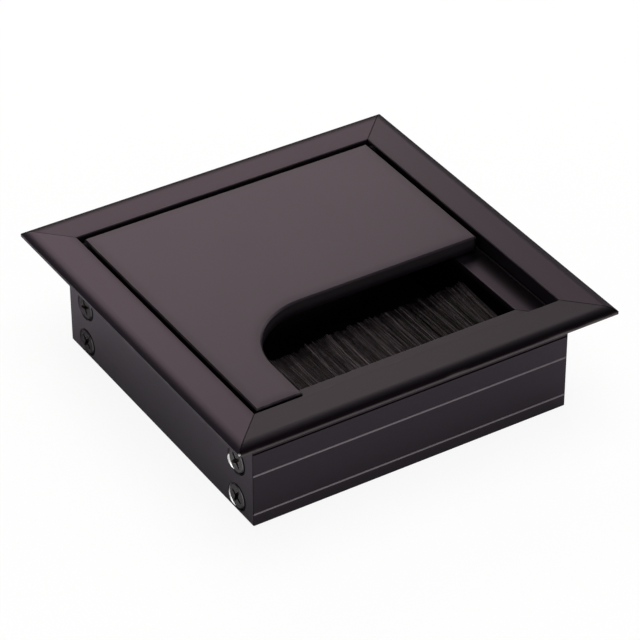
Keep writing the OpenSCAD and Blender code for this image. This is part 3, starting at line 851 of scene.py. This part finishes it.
# Painted shadow: the table is dark inside the skirt.
outside = over(tree, at.reach, shadow_patch_half)
in_gloss = work_out(tree, "MAXIMUM", rays["Is Glossy Ray"], rays["Is Transmission Ray"])
mirrored = times(tree, in_gloss, ramp(tree, at.y, *front_edge, mirrored_front, mirrored_back))
seen = work_out(tree, "MULTIPLY_ADD", rays["Is Camera Ray"], seen_white, mirrored)
matt = put(tree, "ShaderNodeBsdfDiffuse", {"Color": blend(tree, outside, shadow_patch, table_pale)})
white = put(tree, "ShaderNodeEmission", {"Color": (1, 1, 1, 1), "Strength": 1.0})
mix = put(tree, "ShaderNodeMixShader",
          {0: times(tree, seen, outside), 1: matt.outputs[0], 2: white.outputs[0]})
put(tree, "ShaderNodeOutputMaterial", {"Surface": mix.outputs[0]})
table_mesh = bpy.data.meshes.new("table")
corners = np.array([[-1, -1, 0], [1, -1, 0], [1, 1, 0], [-1, 1, 0]], float) * table_half
corners[:, 2] -= table_drop
table_mesh.from_pydata(corners.tolist(), [], [(0, 1, 2, 3)])
table = add_piece("table", table_mesh, white_table)
lamps_aim = (0, 0, 0.03)
overhead = 0.99


def softbox(name, centre, width, height, radiance, colour=(1, 1, 1)):
    """A rectangular lamp of the given radiance, which the camera doesn't see. It faces the top of the frame:
    its axes are the way back from there, a level one across that, which is x for a lamp overhead, and one at
    right angles to both."""
    lamp = bpy.data.lights.new(name, "AREA")
    lamp.shape = "RECTANGLE"
    lamp.size, lamp.size_y = width, height
    lamp.energy = radiance * np.pi * width * height
    lamp.color = colour
    box = bpy.data.objects.new(name, lamp)
    back = np.subtract(centre, lamps_aim)
    back /= np.linalg.norm(back)
    side = np.cross([0, 0, 1], back) if back[2] < overhead else np.array([1.0, 0, 0])
    side /= np.linalg.norm(side)
    turn = np.eye(4)
    turn[:3, :4] = np.stack([side, np.cross(back, side), back, centre], axis=1)
    box.matrix_world = Matrix(turn.tolist())
    box.visible_camera = False
    bpy.context.scene.collection.objects.link(box)
    return box


warm_white = (1.0, 0.90, 0.85)
softbox("rear_softbox", (0.098, 0.432, 0.284), width=0.521, height=0.361, radiance=2.13, colour=warm_white)
softbox("front_softbox", (0.049, -0.565, 0.225), width=0.60, height=0.30, radiance=2.0)
softbox("left_softbox", (-0.562, -0.079, 0.225), width=0.52, height=0.30, radiance=1.9)
softbox("right_softbox", (0.568, -0.080, 0.205), width=0.48, height=0.24, radiance=1.8)
softbox("top_softbox", (0.0, 0.0, 0.70), width=0.40, height=0.40, radiance=1.8)
fill_lamp = softbox("fill_lamp", (0.0, 0.0, 0.90), width=0.80, height=0.80, radiance=2.1)
fill_lamp.visible_glossy = False
room_low, room_high = 0.23, 0.01
dim_from, dim_to = 0.28, 0.86
room = bpy.data.worlds.new("pale_room")
room.use_nodes = True
tree = room.node_tree
direction = put(tree, "ShaderNodeTexCoord").outputs["Generated"]
climb = put(tree, "ShaderNodeSeparateXYZ", {0: direction}).outputs[2]
level = ramp(tree, climb, dim_from, dim_to, room_low, room_high)
level = work_out(tree, "MAXIMUM", level, put(tree, "ShaderNodeLightPath").outputs["Is Camera Ray"])
tree.links.new(level, tree.nodes["Background"].inputs["Strength"])
tree.nodes["Background"].inputs["Color"].default_value = (1, 1, 1, 1)
bpy.context.scene.world = room

# Camera: stands in front and to the left, well above the lid, with a long lens, as in the photograph. Its
# place and its three axes come from a fit to the corners of the flange, the skirt and the lid.
eye = (-0.32467, -0.52558, 0.45377)
right = np.array([0.84877, -0.52875, -0.00248])
down = np.array([-0.30795, -0.49051, -0.81521])
forward = np.array([0.42983, 0.69270, -0.57916])
lens = bpy.data.cameras.new("photo_camera")
lens.lens = 183.24
lens.sensor_width = 36.0
lens.clip_start = 0.01
camera = bpy.data.objects.new("photo_camera", lens)
stand = np.eye(4)
stand[:3, :4] = np.stack([right, -down, -forward, eye], axis=1)
camera.matrix_world = Matrix(stand.tolist())
bpy.context.scene.collection.objects.link(camera)
bpy.context.scene.camera = camera
bpy.context.scene.view_settings.view_transform = "Standard"
